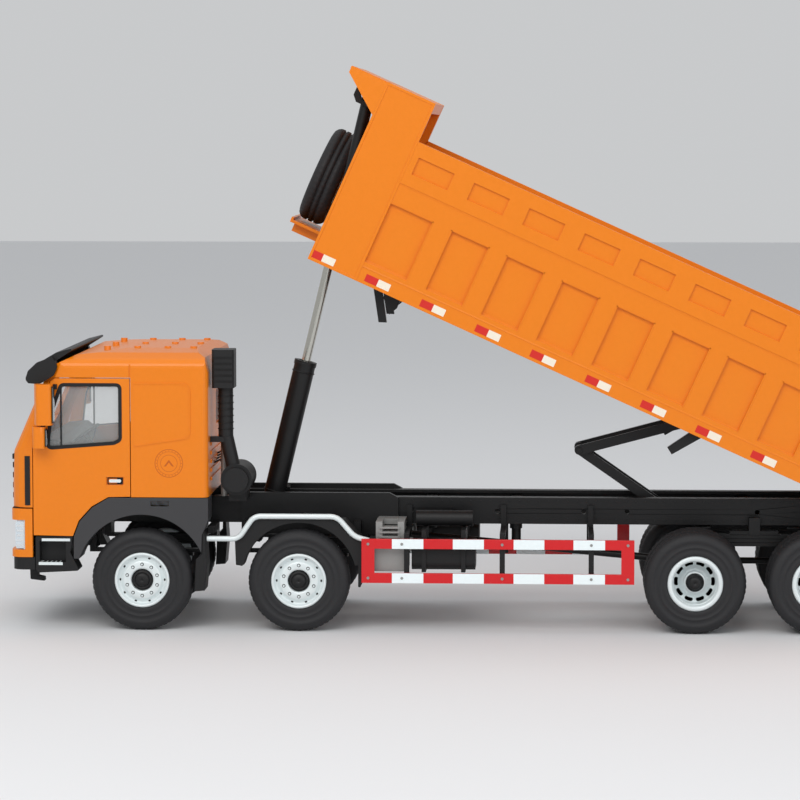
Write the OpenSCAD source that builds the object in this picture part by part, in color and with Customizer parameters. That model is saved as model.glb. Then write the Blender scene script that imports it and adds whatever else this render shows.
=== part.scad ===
// Toy tipper truck, four axles, tipping body, telescopic front hoist.
// Nose towards -X, left side towards -Y, wheels standing on Z = 0.

/* [Wheels] */
// Outer radius of every tyre
tyre_r = 23.2; // [22.6:0.1:23.4]
// Width of one tyre
tyre_w = 13; // [12:0.5:13]

/* [Cab] */
// Thickness of the cab skin
skin = 2; // [1.6:0.1:2.2]

/* [Tipping body] */
// Height of the side wall
wall_h = 68.6; // [66:0.2:72]
// Height of the front corner panels
tall_h = 87.3; // [85:0.1:90]

/* [Details] */
// Radius of the hoist barrel
barrel_r = 5; // [4.7:0.1:5.2]
// Radius of the silver guard pipes
pipe_r = 1.2; // [1:0.1:1.3]

/* [Hidden] */
// tilt of the tipping body as it stands
tilt = 24.4;
// moves the whole truck so that the origin is under the middle of its length
xo = -11.7;

$fn = 48;
orange = [0.89, 0.52, 0.1];
blk = [0.09, 0.09, 0.1];
steel = [0.75, 0.77, 0.78];

// axle places
ax1 = -141.7; ax2 = -69.9; ax3 = 110.3; ax4 = 166.5;
axz = tyre_r;
// half width of cab and body
hw = 52;
// body hinge line
hx = 184; hz = 54.4; hu = 275; hv = 2.5;
// hoist foot, tilt and open length
cx = -87.2; cz = 50.4; ha = 13.5; hl = 200;
// stabiliser pivots: lower, elbow, upper
p1 = [103.8, 47.8]; el = [57.8, 79.7]; p2 = [111.6, 94.0];

function unit(v) = v / norm(v);
// arc that rounds the corner p1 between p0 and p2
function fil(a, b, c, r, n) = let(u = unit(a - b), v = unit(c - b), g = acos(max(-1, min(1, u * v))),
  d = min(r / tan(g / 2), norm(a - b) * 0.49, norm(c - b) * 0.49), q = d * tan(g / 2),
  o = b + unit(u + v) * (q / sin(g / 2)), s = b + u * d, e = b + v * d,
  t0 = atan2(s[1] - o[1], s[0] - o[0]), t1 = atan2(e[1] - o[1], e[0] - o[0]) - t0,
  dt = t1 > 180 ? t1 - 360 : (t1 < -180 ? t1 + 360 : t1))
  [for (i = [0:n]) o + q * [cos(t0 + dt * i / n), sin(t0 + dt * i / n)]];
function rp(p, r, n = 5) = let(m = len(p)) [for (i = [0:m - 1]) each fil(p[(i + m - 1) % m], p[i], p[(i + 1) % m], is_list(r) ? r[i] : r, n)];

module place() translate([xo, 0, 0]) children();
module xz(y0, y1) translate([0, y1, 0]) rotate([90, 0, 0]) linear_extrude(y1 - y0) children();
module yz(x0, x1) translate([x0, 0, 0]) rotate([90, 0, 90]) linear_extrude(x1 - x0) children();
module xy(z0, z1) translate([0, 0, z0]) linear_extrude(z1 - z0) children();
module bx(x0, x1, y0, y1, z0, z1) translate([x0, y0, z0]) cube([x1 - x0, y1 - y0, z1 - z0]);
module both() { children(); mirror([0, 1, 0]) children(); }
// cylinder along Y from y0 to y1
module cy(x, z, r, y0, y1) translate([x, y1, z]) rotate([90, 0, 0]) cylinder(r = r, h = y1 - y0);
// cylinder along X
module cxx(y, z, r, x0, x1) translate([x0, y, z]) rotate([0, 90, 0]) cylinder(r = r, h = x1 - x0);
// body frame: x along the floor towards the tail, z square to it
module bed() translate([hx, 0, hz]) rotate([0, tilt, 0]) translate([-hu, 0, hv]) children();

// ---------------- chassis ----------------
module frame_rails() color(blk) difference() {
  both() difference() {
    yz(-189.3, 188) polygon([[12.5, 46], [18, 46], [18, 58.3], [12.5, 58.3], [12.5, 56.8], [16.4, 56.8], [16.4, 47.5], [12.5, 47.5]]);
    for (x = [-40, -20, 0, 20, 60, 80, 140]) cy(x, 52, 1.1, 10, 20);
  }
  cy(hx, hz, 1.5, -30, 30);
}
module sub_frame() { cross_members(); subframe_boxes(); }
module cross_members() color(blk) difference() {
  union() {
    for (x = [-186, -103, -52, -14, 26, 132, 174]) bx(x, x + 5, -16.4, 16.4, 48, 56);
    for (x = [-11.5, 28.5]) for (y = [-9, 9]) translate([x, y, 43]) cylinder(r = 2.9, h = 7);
    cy(p1[0], p1[1], 1.2, -12.5, 12.5);
  }
  for (x = [-11.5, 28.5]) for (y = [-9, 9]) translate([x, y, 0]) cylinder(r = 1.25, h = 60);
}
// boxed side plates that stand beside the rails over the second axle
module subframe_boxes() color([0.12, 0.12, 0.13]) {
  both() xz(18, 20.5) polygon([[-99, 41], [-99, 59], [-97, 60.4], [-30, 60.4], [-26, 58.3], [-26, 45], [-36, 41]]);
  bx(cx - 7, cx + 7, -16.4, 16.4, 43.6, 46);
  both() xz(8, 10) difference() {
    polygon(rp([[cx - 7, 45.6], [cx - 5, 55], [cx + 5, 55], [cx + 7, 45.6]], [0.1, 3, 3, 0.1]));
    translate([cx, cz]) circle(r = 1.55);
  }
}

// ---------------- cab ----------------
side_out = [[-191.2, 43.4], [-191.2, 56.4], [-201.2, 56.4], [-201.3, 66], [-200.4, 82.6], [-186.6, 114], [-181.5, 121.6], [-172, 126],
  [-150, 128.2], [-118, 128.2], [-112.6, 125], [-111.1, 118], [-111.1, 61.4], [-156.8, 61.4], [-164.5, 57], [-170.4, 50.5], [-173.2, 43.4]];
door_o = [[-191.2, 43.7], [-191.2, 84], [-183, 114.2], [-181, 115.6], [-146.7, 115.6], [-146.7, 61.6], [-156.8, 61.4], [-164.5, 57], [-170.4, 50.5], [-173.2, 43.4]];
door_win = [[-184.4, 83.8], [-182.6, 100], [-178, 112.6], [-151.2, 112.6], [-151.2, 87.6], [-154, 86.2]];

module cab_block(s = 0) intersection() {
  xz(-hw + s, hw - s) polygon(s == 0 ? side_out :
    [[-189.2, 30], [-189.2, 58.4], [-199.2, 58.4], [-199.3, 66], [-198.2, 82.6], [-184.4, 113.4], [-180, 120], [-171.4, 124.1],
     [-150, 126.2], [-118.6, 126.2], [-114, 123.6], [-113.1, 118], [-113.1, 30]]);
  xy(20, 140) polygon(rp([[-201.8 + s, -hw + s], [-201.8 + s, hw - s], [-111 - s, hw - s], [-111 - s, -hw + s]], [9, 9, 3, 3]));
  yz(-210, -100) polygon(rp([[-hw + s, 20], [-hw + s, 123.5 - s], [-hw + 8, 127 - s], [-20, 129 - s], [20, 129 - s], [hw - 8, 127 - s], [hw - s, 123.5 - s], [hw - s, 20]], [0.1, 5, 4, 8, 8, 4, 5, 0.1]));
  translate([-200.6 + s, 0, 82.7]) rotate([0, 23.7, 0]) xy(-90, 110) polygon(rp([[0, -hw + s], [0, hw - s], [170, hw - s], [170, -hw + s]], [7, 7, 1, 1]));
}
module cab_shell() color(orange) {
  difference() {
    cab_block();
    difference() { cab_block(skin); bx(-210, -100, -60, 60, 59, 61.4); }
    // wheel and frame space below the floor
    bx(-189.4, -111.1, -49.8, 49.8, 40, 61.5);
    // doors
    both() xz(-60, -49.5) polygon([for (p = door_o) [p[0] < -170 ? p[0] - 0.35 : p[0] + (p[0] > -150 ? 0.4 : 0), p[1] > 110 ? p[1] + 0.4 : p[1]]]);
    both() bx(-191.5, -146.3, -60, -49.5, 40, 62);
    // windscreen
    yz(-206, -183) polygon(rp([[-44, 87], [-42, 113], [42, 113], [44, 87]], 4));
    // rear window
    yz(-116, -108) polygon(rp([[-17, 92], [-17, 108], [17, 108], [17, 92]], 2.5));
    // lower corner step lines of the nose
    both() bx(-195, -192.6, 51.6, 54, 57.5, 80);
    bx(-203, -199.9, -46, 46, 59, 78);
    both() xz(-hw - 1, -hw + 0.4) polygon([[-146.3, 116.3], [-146.3, 130], [-147, 130], [-147, 116.3]]);
  }
  // pressed stripes of the rear wall
  for (i = [0:4]) bx(-111.2, -110.5, -40, 40, 68 + i * 4, 69.6 + i * 4);
  // pressed sleeper panel
  both() difference() {
    xz(-hw - 0.35, -hw + 0.2) polygon(rp([[-145, 84.5], [-145, 113.6], [-119, 113.6], [-119, 88.4]], [0.1, 0.1, 3.5, 3.5]));
    xz(-hw - 1, -hw - 0.15) polygon(rp([[-146, 84.9], [-146, 113], [-119.6, 113], [-119.6, 88.9]], [0.1, 0.1, 3, 3]));
  }
  // roof bosses
  for (x = [-160, -146, -132, -120]) for (y = [-28, 0, 28]) translate([x, y, 126]) cylinder(r = 1.6, h = 2.9);
}
module cab_floor() color(blk) bx(-188.8, -113.4, -49.3, 49.3, 61.5, 63.2);
module dashboard() color([0.1, 0.1, 0.11]) {
  steering_wheel();
  xz(-48.6, 48.6) polygon(rp([[-196.2, 66], [-196.2, 82], [-190, 86.6], [-181, 87.4], [-176.5, 84], [-180, 72], [-184, 66]], 2));
  // centre console
  bx(-180.5, -166, -5, 5, 63.2, 75);
}
module steering_wheel() translate([-171, -26, 88]) rotate([0, -35, 0]) {
  rotate_extrude() translate([7, 0]) circle(r = 0.8, $fn = 24);
  for (a = [0, 120, 240]) rotate([0, 0, a]) bx(0, 6.8, -0.7, 0.7, -0.5, 0.5);
  cylinder(r = 1.8, h = 2, center = true);
  translate([0, 0, -8.6]) cylinder(r = 0.9, h = 8.4);
}
module seats() color([0.34, 0.13, 0.08]) for (y = [-26, 26]) {
  xz(y - 10, y + 10) polygon(rp([[-166, 63.2], [-167, 76], [-165, 79], [-150, 77], [-147, 96], [-146.5, 106], [-141.5, 107], [-141, 84], [-145, 63.2]], 1.6));
  xz(y - 5.5, y + 5.5) polygon(rp([[-146.6, 105], [-147.4, 112.5], [-142.6, 113], [-141.8, 105]], 1.4));
}
module cab_glass() { windshield(); rear_window(); }
module windshield() color([0.6, 0.7, 0.75, 0.4]) intersection() {
  xz(-46, 46) polygon([[-199.4, 84.2], [-186.6, 113.6], [-185.6, 113.6], [-198.4, 84.2]]);
  yz(-206, -183) polygon(rp([[-43.9, 87.1], [-41.9, 112.9], [41.9, 112.9], [43.9, 87.1]], 4));
}
module rear_window() color([0.1, 0.12, 0.13, 0.7]) yz(-112.9, -111.7) polygon(rp([[-17, 92], [-17, 108], [17, 108], [17, 92]], 2.5));
module sun_visor() color(blk) {
  xz(-50, 50) polygon(rp([[-194, 113.2], [-192.6, 118], [-190, 121.6], [-180.5, 127.2], [-173.6, 129], [-173.2, 128.2], [-176, 126.4], [-181.6, 122.9], [-186.9, 115.4], [-189, 112.8]], 0.7, 3));
  both() difference() { xz(48, 52.8) polygon(rp([[-194.8, 113.6], [-193, 119], [-189, 122.8], [-181.5, 125.6], [-179.6, 120.8], [-181.2, 117], [-187.4, 113.2]], 2)); cab_block(); }
}
// mirrors stand on the doors; drawn on the right-hand side
module mirror_pair() {
  xy(94.8, 113.4) polygon(rp([[-190.6, 54.4], [-188, 60.6], [-181, 61], [-181, 54.4]], 2));
  xy(84.2, 94) polygon(rp([[-191.4, 54.4], [-189.6, 59.8], [-184.4, 60], [-184.4, 54.4]], 1.8));
}
module mirror_bars() {
  bx(-182.8, -179.8, 52, 54.4, 110.8, 113);
  bx(-186.5, -184.5, 56, 58, 94, 94.8);
  bx(-188.6, -185.4, 52, 54.4, 85.4, 87.4);
  bx(-181, -180.6, 55.2, 60.2, 95.8, 112.4);
  bx(-184.4, -184, 55.2, 59.2, 85, 93);
}
module mirror_right() color(orange) mirror_pair();
module mirror_left() color(orange) mirror([0, 1, 0]) mirror_pair();
module mirror_bars_right() color(blk) mirror_bars();
module mirror_bars_left() color(blk) mirror([0, 1, 0]) mirror_bars();
module grille() color(blk) {
  bx(-200.6, -199.9, -46, 46, 59, 78);
  for (i = [0:3]) bx(-201.7, -200.5, -45, 45, 60.2 + i * 4.6, 62.6 + i * 4.6);
  bx(-201.6, -200.65, -46.5, 46.5, 78.1, 80.4);
  both() bx(-195, -192.6, 51.6, 52.3, 57.5, 80);
  both() bx(-201, -192.6, 45, 49.6, 55.8, 56.4);
}
module bumper() color(orange) difference() {
  xy(33.6, 55.8) polygon(rp([[-201.8, -52.2], [-201.8, 52.2], [-191.7, 52.2], [-191.7, 49], [-197, 49], [-197, -49], [-191.7, -49], [-191.7, -52.2]], [7, 7, 0.4, 0.4, 3, 3, 0.4, 0.4]));
  both() bx(-203, -195.2, 33, 53, 37, 50.6);
  bx(-203, -200.4, -24, 24, 38, 50);
  both() cxx(27.5, 40, 1.4, -204, -190);
}
module lower_bumper() color(blk) {
  tow_bracket();
  xy(27.8, 33.5) polygon(rp([[-201.2, -51.8], [-201.2, 51.8], [-190.5, 51.8], [-190.5, -51.8]], [7, 7, 1, 1]));
  for (i = [0:3]) bx(-201, -200.4, -23.8, 23.8, 38.6 + i * 3, 40 + i * 3);
  bx(-196.9, -190.5, -24, 24, 33.5, 35);
  both() bx(-196.9, -191.2, 12, 17, 33.5, 50);
}
module headlights() color([0.8, 0.85, 0.88]) both() {
  xy(37.1, 50.5) polygon(rp([[-195.2, 33.1], [-200.3, 33.1], [-200.3, 45], [-196, 51.5], [-195.2, 51.5]], [0.2, 1, 4, 1, 0.2]));
  cxx(37.5, 46.5, 2.6, -200.9, -200.2); cxx(43.5, 46, 2.4, -199.9, -199);
}
module tow_bracket() both() xz(14, 17) polygon(rp([[-197.6, 27.8], [-199, 24.6], [-198.8, 18.4], [-191.8, 17.6], [-192, 19.6], [-195, 20.2], [-194.6, 23], [-188, 27.8]], 0.5, 2));
// arch over a wheel: outer and inner radius about (x, z)
module wheel_arches() color([0.13, 0.13, 0.14]) both() {
  difference() {
    xz(36.5, 52.3) polygon([[-172.9, 28], [-172.7, 43.2], [-170, 50.2], [-164.2, 56.6], [-156.6, 61.1], [-111.1, 61.1], [-111.1, 51], [-114, 44], [-114.5, 28]]);
    cy(ax1, axz, 30.2, 30, 60);
    bx(-180, -100, 30, 60, 20, 33);
    bx(-145, -100, 30, 50.2, 20, 49);
  }
}
module cab_steps() color(blk) both() difference() {
  xz(40, 51.6) polygon(rp([[-190.4, 28], [-190.4, 43.1], [-173.2, 43.1], [-174.6, 36], [-170.4, 27.4], [-189, 26.4]], 0.6, 2));
  bx(-188.6, -176.5, 46, 60, 31.3, 41);
  bx(-187.5, -174.5, 46.5, 60, 41, 42.2); bx(-189, -178, 46.5, 60, 30, 31.3);
}
module step_treads() color(steel) both() { bx(-187.5, -174.5, 46.5, 52, 41, 42.2); bx(-189, -178, 46.5, 52, 30, 31.3); }
module mud_flaps() both() { xz(38, 51.5) polygon([[-113.9, 44.5], [-113, 46], [-111.9, 30], [-112.9, 18.6], [-117.6, 18.2], [-116.9, 33], [-114.2, 35.4]]); bx(-112.8, -109.5, 18, 40, 43.5, 46.8); }
module mud_guards() color(blk) { mud_flaps(); fenders_second(); }
module fenders_second() both() {
  difference() {
    xz(37, 47.4) polygon([[-99, 30], [-99.4, 41], [-92, 51], [-49, 51], [-40, 41], [-38.6, 27], [-42, 20]]);
    cy(ax2, axz, 26.3, 30, 60); bx(-96, -43, 30, 60, 10, 30);
  }
  bx(-90, -86, 20.5, 37, 45, 50); bx(-70, -66, 20.5, 37, 50, 51);
}
pipe = [[-112, 42.2], [-97.6, 42.2], [-90.5, 52.6], [-52.5, 52.6], [-44.5, 43.4], [-38, 41.8]];
module seg(a, b, y, r) translate([a[0], y, a[1]]) rotate([0, 90 - atan2(b[1] - a[1], b[0] - a[0]), 0]) cylinder(r = r, h = norm(b - a));
// points beside a path, d to its left
function off(p, d) = [for (i = [0:len(p) - 1]) let(a = unit(p[max(i, 1)] - p[max(i, 1) - 1]), j = min(i, len(p) - 2), b = unit(p[j + 1] - p[j]),
  n = unit([-(a[1] + b[1]), a[0] + b[0]])) p[i] + n * (d / (n * [-a[1], a[0]]))];
module guard_pipes() color(steel) both() let(q = off(pipe, pipe_r), w = off(pipe, -pipe_r))
  xz(48.6 - pipe_r, 48.6 + pipe_r) polygon([each q, for (i = [5:-1:0]) w[i]]);
module side_guards() color([0.72, 0.05, 0.06]) both() xz(50, 51.6) difference() {
  polygon([[-41.2, 22.7], [-41.2, 42.9], [82.7, 42.9], [82.7, 22.7]]);
  polygon([[-35.3, 27.3], [-35.3, 38.4], [76.8, 38.4], [76.8, 27.3]]);
}
module guard_brackets() color(blk) both() {
  for (x = [-21.9, 21.6, 62]) { bx(x, x + 2.4, 47.6, 50, 23.5, 42.5); bx(x, x + 2.4, 18, 50, 42.5, 45.2); bx(x, x + 2.4, 18, 20, 42.5, 55); }
  bx(-37.6, -35, 40, 50, 41, 42.9);
}
module air_intake() color(blk) {
  filter_drum();
  xy(111, 128.5) polygon(rp([[-109.8, -47], [-109.8, -34], [-99.6, -34], [-99.6, -47]], 1.6));
  translate([-104, -40.5, 89]) cylinder(r = 3.4, h = 22.2);
  seg([-104, 89.5], [-99.6, 70], -40.5, 3.2);
  translate([-104, -40.5, 89.4]) sphere(r = 3.4);
  bx(-110.9, -103, -43.5, -39, 86, 88.4);
}
module filter_drum() { cy(-99, 68.8, 7.2, -44, -22); cy(-99, 68.8, 5.6, -46.4, -44); bx(-103, -95, -38, -20.5, 58.3, 63.5); }
module battery_box() color(steel) both() {
  xy(27.4, 39.2) polygon(rp([[-36.6, 24], [-36.6, 46.6], [-20.4, 46.6], [-20.4, 24]], 1));
  for (i = [0:3]) bx(-33.5, -24, 40, 46, 40.6 + i * 2.1, 41.4 + i * 2.1);
  bx(-35, -32, 28, 45, 39.2, 50); bx(-25, -22, 28, 45, 39.2, 50); bx(-35, -22, 20.5, 30, 47, 49.6);
}
module fuel_tank() color(blk) both() {
  yz(-18.6, 10.4) polygon(rp([[24, 28], [24, 40.6], [46.4, 40.6], [46.4, 28]], 3.4));
  for (x = [-14, 4]) difference() { bx(x, x + 2, 18, 47.2, 27.2, 46.4); yz(x - 1, x + 3) polygon(rp([[24, 28], [24, 40.6], [46.4, 40.6], [46.4, 28]], 3.4)); }
}
module air_tanks() color(blk) both() { cxx(32, 50.2, 3.6, -17, 9); bx(-14, -12, 18, 30, 49, 51.5); bx(4, 6, 18, 30, 49, 51.5); }
module springs() color(blk) both() {
  for (x = [ax1, ax2]) { for (i = [0:2]) bx(x - 27 + i * 6, x + 27 - i * 6, 25, 30, 33.4 - i * 1.7, 34.9 - i * 1.7);
    bx(x - 27, x - 24, x > -100 ? 20.5 : 18, 30, 34.9, 48); bx(x + 24, x + 27, x > -100 ? 20.5 : 18, 30, 34.9, 48); bx(x - 3, x + 3, 25.5, 29.5, axz + 4, 30); }
  for (i = [0:3]) bx(ax3 - 4 + i * 7, ax4 + 4 - i * 7, 17, 22.5, 36.8 + i * 1.8, 38.4 + i * 1.8);
  bx(136, 141, 18, 23, 42, 50);
  for (x = [ax3, ax4]) bx(x - 3.6, x + 3.6, 17.5, 22, axz + 4.2, 36.8);
}
module axle_housings() color(blk) difference() {
  union() {
    for (x = [ax1, ax2]) { cy(x, axz, 3.2, -36.5, 36.5); bx(x - 3.6, x + 3.6, -31, 31, axz - 3, axz + 4); }
    for (x = [ax3, ax4]) { cy(x, axz, 4, -23.4, 23.4); translate([x, 0, axz]) sphere(r = 9.5); bx(x - 3.6, x + 3.6, -22, 22, axz - 2, axz + 4.2); cxx(0, axz + 4, 3, x - 13, x); }
  }
  for (x = [ax1, ax2, ax3, ax4]) cy(x, axz, 1.6, -60, 60);
}
module drive_shafts() color([0.1, 0.1, 0.11]) {
  seg([-45, 41], [ax3 - 13.2, axz + 4.6], 0, 1.7); cxx(0, 41, 4.4, -66, -44.6); bx(-62, -58, -16.4, 16.4, 40, 46);
  seg([ax3 + 9.4, axz + 4], [ax4 - 13, axz + 4], 0, 1.5);
  translate([28.5, 0, 34]) cylinder(r = 2.2, h = 14);
}
module tail_lights() color([0.55, 0.05, 0.04]) both() { bx(187, 189.4, 30, 48, 38, 44); bx(183.6, 187, 18, 46, 39.6, 42.4); bx(183.6, 187, 18, 20, 42.4, 50); }
module body_hinge_pin() color(steel) cy(hx, hz, 1.5, -22.4, 22.4);

// ---------------- doors: s = -1 left, 1 right ----------------
module door(s) mirror([0, s > 0 ? 1 : 0, 0]) difference() {
  intersection() { cab_block(); xz(-hw - 1, -49.9) polygon(door_o); }
  xz(-60, -40) polygon(rp(door_win, 2));
  // handle recess
  bx(-157.7, -149.6, -54, -hw + 0.9, 66.9, 70.6);
}
module door_pair(s) { door(s); mirror([0, s > 0 ? 1 : 0, 0]) bx(-156.6, -152.8, -hw + 0.6, -hw + 1.2, 67.6, 69.8); }
module door_left() color(orange) door_pair(-1);
module door_right() color(orange) door_pair(1);
module dglass(s) color([0.55, 0.6, 0.62, 0.35]) mirror([0, s > 0 ? 1 : 0, 0]) xz(-51.3, -50.4) polygon(rp(door_win, 2));
module door_glass_left() dglass(-1);
module door_glass_right() dglass(1);

// ---------------- wheels ----------------
// profile: [radius, distance outwards]
module rev(x, y, s) translate([x, y, axz]) rotate([s < 0 ? 90 : -90, 0, 0]) rotate_extrude($fn = 96) children();
tp = [[12.6, 0.6], [15, 0.1], [20, 0.2], [22.6, 1.4], [tyre_r, 3], [tyre_r, 10], [22.6, 11.6], [20, 12.8], [17, 13], [16.4, 12.7], [15.6, 12.9], [12.6, 12.4]];
tw = [for (q = tp) [q[0], q[1] * tyre_w / 13]];
module tyre(x, y, s) rev(x, y, s) polygon(tw);
module rim_f(x, y, s) rev(x, y, s) polygon([[2.2, 5], [2.2, 10.6], [5.2, 10.6], [5.6, 12.2], [8.8, 12], [9.6, 10.9], [10.8, 10.9], [11.5, 12.9], [12.6, 12.9], [12.6, 1], [11.4, 1], [11.4, 8.2], [9.5, 8.6], [5, 8.4], [4.6, 5]]);
module rim_r(x, y, s) rev(x, y, s) polygon([[2.2, 1], [2.2, 5], [6, 5], [7.4, 3.4], [9.4, 3.4], [10, 4.4], [10.1, 12], [10.4, 12.9], [12.6, 12.9], [12.6, -12.6], [11, -12.6], [11, 0.4], [9.5, 1]]);
module nuts(x, y, s, n, r) for (i = [0:n - 1]) translate([x + r * cos(i * 360 / n + 18), y, axz + r * sin(i * 360 / n + 18)]) rotate([s < 0 ? 90 : -90, 0, 0]) children();
module tyres_f(x) color([0.12, 0.12, 0.13]) for (s = [-1, 1]) tyre(x, s * 38.4, s);
module tyres_r(x) color([0.12, 0.12, 0.13]) for (s = [-1, 1]) { tyre(x, s * 38.4, s); tyre(x, s * 38, -s); }
module rims_f(x) color(steel) for (s = [-1, 1]) { rim_f(x, s * 38.4, s); nuts(x, s * 50.3, s, 10, 7.1) cylinder(r = 0.42, h = 0.5, $fn = 16); }
module rims_r(x) color(steel) for (s = [-1, 1]) { rim_r(x, s * 38.4, s); nuts(x, s * 41.6, s, 10, 8.4) cylinder(r = 0.5, h = 1.1, $fn = 16); }
module axle_f(x) color(blk) { cy(x, axz, 1.5, -49, 49); for (s = [-1, 1]) { rev(x, s * 47, s) polygon([[0, 1], [0, 5.8], [2.8, 5.8], [3.2, 5.2], [4.6, 5.1], [4.9, 4.4], [4.9, 3.8], [2.2, 2], [2.2, 1]]); cy(x, axz, 2.2, min(s * 43.4, s * 49), max(s * 43.4, s * 49)); } }
module axle_r(x) color(blk) { cy(x, axz, 1.5, -43, 43); for (s = [-1, 1]) { cy(x, axz, 2.2, min(s * 39.4, s * 43.4), max(s * 39.4, s * 43.4)); rev(x, s * 43.4, s) polygon([[0, 0], [0, 5.4], [3, 5.4], [4, 4.6], [4.1, 0]]); } }
module wheelset_f(x) { rims_f(x); axle_f(x); }
module wheelset_r(x) { rims_r(x); axle_r(x); }
module tyres_1() tyres_f(ax1);
module wheels_1() wheelset_f(ax1);
module tyres_2() tyres_f(ax2);
module wheels_2() wheelset_f(ax2);
module tyres_3() tyres_r(ax3);
module wheels_3() wheelset_r(ax3);
module tyres_4() tyres_r(ax4);
module wheels_4() wheelset_r(ax4);

// ---------------- hoist ----------------
// hoist frame: z along the ram from its foot, x to the rear
module ram() translate([cx, 0, cz]) rotate([0, ha, 0]) children();
module hoist_barrel() color([0.1, 0.1, 0.1]) ram() {
  difference() {
    union() { translate([0, 0, 6]) cylinder(r = barrel_r, h = 65); translate([0, 0, 69.6]) cylinder(r = barrel_r + 0.3, h = 2.2); xz(-7.6, 7.6) union() { circle(r = 3.4); translate([-3.4, 0]) square([6.8, 7]); } }
    translate([0, 0, 8]) cylinder(r = 3.3, h = 80);
  }
  rotate([90, 0, 0]) cylinder(r = 1.45, h = 21.6, center = true);
}
module hoist_rod() color([0.8, 0.8, 0.78]) ram() translate([0, 0, 64]) cylinder(r = 2.1, h = 68);
module hoist_sleeve() color([0.1, 0.1, 0.1]) ram() {
  difference() {
    union() {
      translate([0, 0, hl - 72]) cylinder(r = 2.9, h = 68);
      xz(-3, 3) union() { translate([0, hl]) circle(r = 2.7); translate([-2.7, hl - 5.6]) square([5.4, 5.6]); }
    }
    translate([0, 0, hl - 73]) cylinder(r = 2.2, h = 67);
  }
  translate([0, 0, hl]) rotate([90, 0, 0]) cylinder(r = 1.1, h = 12.4, center = true);
}

// ---------------- scissor stabiliser ----------------
module arm(a, b, y0, y1, w, r0, r1) difference() {
  xz(y0, y1) union() {
    translate(a) circle(r = w); translate(b) circle(r = w);
    translate(a) rotate(atan2(b[1] - a[1], b[0] - a[0])) translate([0, -w]) square([norm(b - a), 2 * w]);
  }
  cy(a[0], a[1], r0, y0 - 1, y1 + 1); cy(b[0], b[1], r1, y0 - 1, y1 + 1);
}
module stabiliser_lower() color(blk) {
  both() arm(p1, el, 5.5, 7.5, 2.2, 1.28, 1.2);
  cy(el[0], el[1], 1.2, -10.8, 10.8);
  mid = (p1 + el) / 2;
  cy(mid[0], mid[1], 1.2, -5.6, 5.6);
}
module stabiliser_upper() color(blk) {
  both() arm(el, p2, 7.9, 9.9, 2.2, 1.28, 1.15);
  cy(p2[0], p2[1], 1.15, -12.4, 12.4);
}

// ---------------- tipping body ----------------
pitch = 27.32;
module bed_shell() color(orange) bed() {
  difference() {
    union() {
      bx(1.6, 285, -50.4, 50.4, 8, 10);
      both() bx(0, 285, 48.6, 50.4, 8, wall_h - 2.6);
      both() bx(0, 24, 48.6, 50.4, 8, tall_h);
      bx(0, 1.6, -50.4, 50.4, 8, tall_h - 1.5);
      bx(0, 16.6, -13.6, 13.6, 8, tall_h - 1.5);
    }
    bx(-1, 15, -12, 12, 0, tall_h - 3);
    // room for the tailgate hinge
    bx(283.4, 286, -51, 51, 55, 75);
  }
}
module bed_side_frames() color(orange) bed() both() difference() {
  union() {
    xz(50.4, 52) difference() {
      polygon([[0, 0], [0, tall_h], [24, tall_h], [24, wall_h], [288, wall_h], [288, 0]]);
      translate([24, 9.6]) square([20.6, 28.7]);
      for (k = [0:7]) translate([54.3 + pitch * k, 9.6]) square([18, 28.7]);
    }
    // upper board stands a little proud
    xz(51.9, 52.5) polygon([[24, 48.4], [24, wall_h], [288, wall_h], [288, 48.4]]);
    // front corner panel edge
    xz(51.9, 52.3) difference() { polygon([[0, 0], [0, tall_h], [24, tall_h], [24, 0]]); translate([1.2, 1.2]) square([21.6, tall_h - 2.4]); }
    // sloped ledge along the foot of the bays
    yz(24, 263) polygon([[50.4, 7], [52.3, 7], [50.6, 10.6], [50.4, 10.6]]);
    // top rail
    bx(24, 288, 47.8, 50.5, wall_h - 2.6, wall_h);
  }
  for (k = [-1:7]) bx(54.4 + pitch * k, 72 + pitch * k, 51.4, 53, 54.1, 62.2);
  // tailgate hinge bores
  cy(286.6, 63.4, 1.06, 40, 60);
  bx(284.9, 290, 40, 50.4, wall_h - 10, wall_h + 1);
}
module bed_canopy() color(orange) bed() {
  xz(-52, 52) polygon([[-17.4, tall_h - 1.5], [-17.6, tall_h - 0.6], [-17.2, tall_h], [0, tall_h], [0, tall_h - 1.5]]);
  both() xz(50.6, 52.3) polygon([[0, tall_h - 0.5], [-17.4, tall_h - 0.2], [-17.4, tall_h - 3.2], [0, 71]]);
  bx(0, 23.9, -48.6, 48.6, tall_h - 1.4, tall_h - 0.1);
  bx(21, 23.9, -48.6, 48.6, tall_h - 5, tall_h - 1.4);
}
module bed_beams() color(blk) bed() difference() {
  union() {
    both() bx(16.8, 272, 14, 17.6, 2.2, 8);
    for (k = [0:7]) bx(46.5 + pitch * k, 51.5 + pitch * k, -50.3, 50.3, 4.6, 8);
    bx(269, 280, -50.3, 50.3, 4.2, 8);
    both() xz(18.4, 21) union() { polygon([[268, 6], [272, -3.5], [278, -3.5], [280, 6]]); translate([275, -hv]) circle(r = 3.6); }
    // scissor pivot ears and the beam that carries them
    both() xz(10.4, 12.2) polygon([[186.4, 6.8], [189.4, -2.6], [196, -2.6], [199, 6.8]]);
    bx(186, 200, -14.2, 14.2, 6.6, 8);
    both() bx(24.4, 28.4, 18, 50.3, 4.6, 8);
  }
  cy(275, -hv, 1.56, -60, 60);
  cy(192.7, 3.65, 1.85, -13, 13);
  bx(182, 200, -10.3, 10.3, -5, 6.6);
}
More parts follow.
